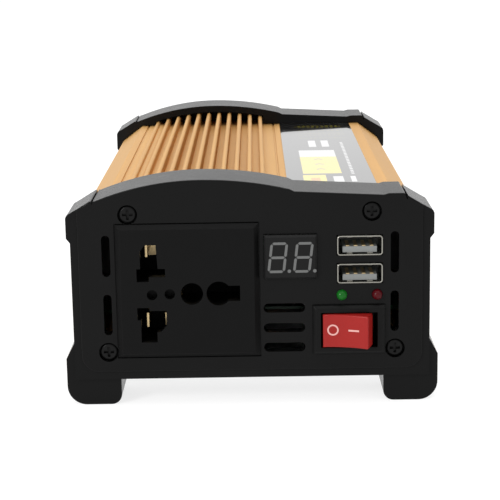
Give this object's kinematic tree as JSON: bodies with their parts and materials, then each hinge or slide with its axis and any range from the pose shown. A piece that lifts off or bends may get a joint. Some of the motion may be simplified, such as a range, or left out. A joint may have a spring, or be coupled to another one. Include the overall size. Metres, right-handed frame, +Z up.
{
  "type": "power inverter",
  "caption": "Vehicle power inverter: finned gold casing between black end covers, with a universal outlet, USB ports, a display, a rocker switch, a fan and screw posts.",
  "frame": {"origin": "centre of the whole object on the surface its feet stand on", "axes": "+Y runs from the front panel to the back, +Z is up, +X is to the right when facing the front panel"},
  "size_m": [0.1086, 0.2162, 0.0668],
  "materials": {
    "cover_plastic": "fine satin",
    "gold_anodised": "satin anodised",
    "plain_aluminium": "brushed",
    "black_screw": "satin black oxide",
    "zinc_screw": "zinc plated",
    "label_film": "gloss film",
    "socket_plastic": "satin",
    "contact_brass": "polished",
    "display_plastic": "semi gloss",
    "segment_plastic": "diffusing",
    "port_nickel": "nickel plated",
    "tongue_plastic": "satin",
    "green_lens": "clear tinted",
    "red_lens": "clear tinted",
    "switch_plastic": "satin",
    "rocker_red": "gloss",
    "fan_plastic": "satin",
    "guard_steel": "bright wire",
    "board_green": "solder mask",
    "ferrite": "matt",
    "coil_tape": "polyester tape",
    "copper_wire": "enamelled",
    "capacitor_sleeve": "shrink sleeve",
    "chip_epoxy": "moulded epoxy",
    "pad_grey": "silicone",
    "fuse_orange": "clear tinted",
    "post_red": "gloss",
    "post_black": "gloss",
    "lead_red": "soft insulation",
    "lead_black": "soft insulation"
  },
  "bodies": {
    "inverter": {"front_cover": "cover_plastic", "rear_cover": "cover_plastic", "front_cover_screws": "black_screw", "rear_cover_screws": "black_screw", "casing_extrusion": "gold_anodised", "bottom_plate": "plain_aluminium", "bottom_plate_screws": "zinc_screw", "top_label": "label_film", "socket_housing": "socket_plastic", "live_contact": "contact_brass", "neutral_contact": "contact_brass", "earth_contact": "contact_brass", "display_module": "display_plastic", "display_segments": "segment_plastic", "display_board": "board_green", "usb_shells": "port_nickel", "usb_tongues": "tongue_plastic", "usb_contacts": "contact_brass", "usb_board": "board_green", "green_led": "green_lens", "red_led": "red_lens", "switch_housing": "switch_plastic", "switch_terminals": "port_nickel", "fan_frame": "fan_plastic", "fan_stator": "copper_wire", "fan_guard": "guard_steel", "fan_screws": "zinc_screw", "fan_nuts": "zinc_screw", "main_board": "board_green", "board_standoffs": "contact_brass", "board_screws": "zinc_screw", "transformer_core": "ferrite", "transformer_winding": "coil_tape", "choke_core": "ferrite", "choke_winding": "copper_wire", "bus_capacitor": "capacitor_sleeve", "input_capacitors": "capacitor_sleeve", "mosfets": "chip_epoxy", "heat_pads": "pad_grey", "mosfet_clamps": "plain_aluminium", "fuse_holders": "socket_plastic", "blade_fuses": "fuse_orange", "control_chips": "chip_epoxy", "buzzer": "chip_epoxy", "ac_leads": "lead_black", "switch_leads": "lead_red", "post_studs": "contact_brass", "post_lugs": "port_nickel", "post_nuts": "contact_brass", "positive_post_base": "post_red", "positive_lead": "lead_red", "negative_post_base": "post_black", "negative_lead": "lead_black"},
    "rocker": {"switch_rocker": "rocker_red"},
    "rotor": {"fan_rotor": "fan_plastic"},
    "positive_washer_disc": {"positive_washer": "contact_brass"},
    "positive_knob_cap": {"positive_knob": "post_red"},
    "negative_washer_disc": {"negative_washer": "contact_brass"},
    "negative_knob_cap": {"negative_knob": "post_black"}
  },
  "joints": [
    {"name": "rocker_tilt", "type": "hinge", "parent": "inverter", "child": "rocker", "pos_m": [0.02825, -0.10143, 0.02245], "axis": [0, 0, 1], "range_deg": [0, 28]},
    {"name": "fan_spin", "type": "hinge", "parent": "inverter", "child": "rotor", "pos_m": [0.016, 0.07877, 0.034], "axis": [0, 1, 0], "continuous": true},
    {"name": "positive_washer_slide", "type": "slide", "parent": "inverter", "child": "positive_washer_disc", "axis": [0, 1, 0], "range_m": [0, 0.004]},
    {"name": "positive_knob_turn", "type": "hinge", "parent": "positive_washer_disc", "child": "positive_knob_cap", "pos_m": [-0.018, 0.09957, 0.031], "axis": [0, 1, 0], "range_deg": [0, 1450]},
    {"name": "negative_washer_slide", "type": "slide", "parent": "inverter", "child": "negative_washer_disc", "axis": [0, 1, 0], "range_m": [0, 0.004]},
    {"name": "negative_knob_turn", "type": "hinge", "parent": "negative_washer_disc", "child": "negative_knob_cap", "pos_m": [-0.038, 0.09957, 0.031], "axis": [0, 1, 0], "range_deg": [0, 1450]}
  ],
  "couplings": [
    {"joint": "positive_knob_turn", "follows": "positive_washer_slide", "rad_per_m": 6283.2},
    {"joint": "negative_knob_turn", "follows": "negative_washer_slide", "rad_per_m": 6283.2}
  ]
}
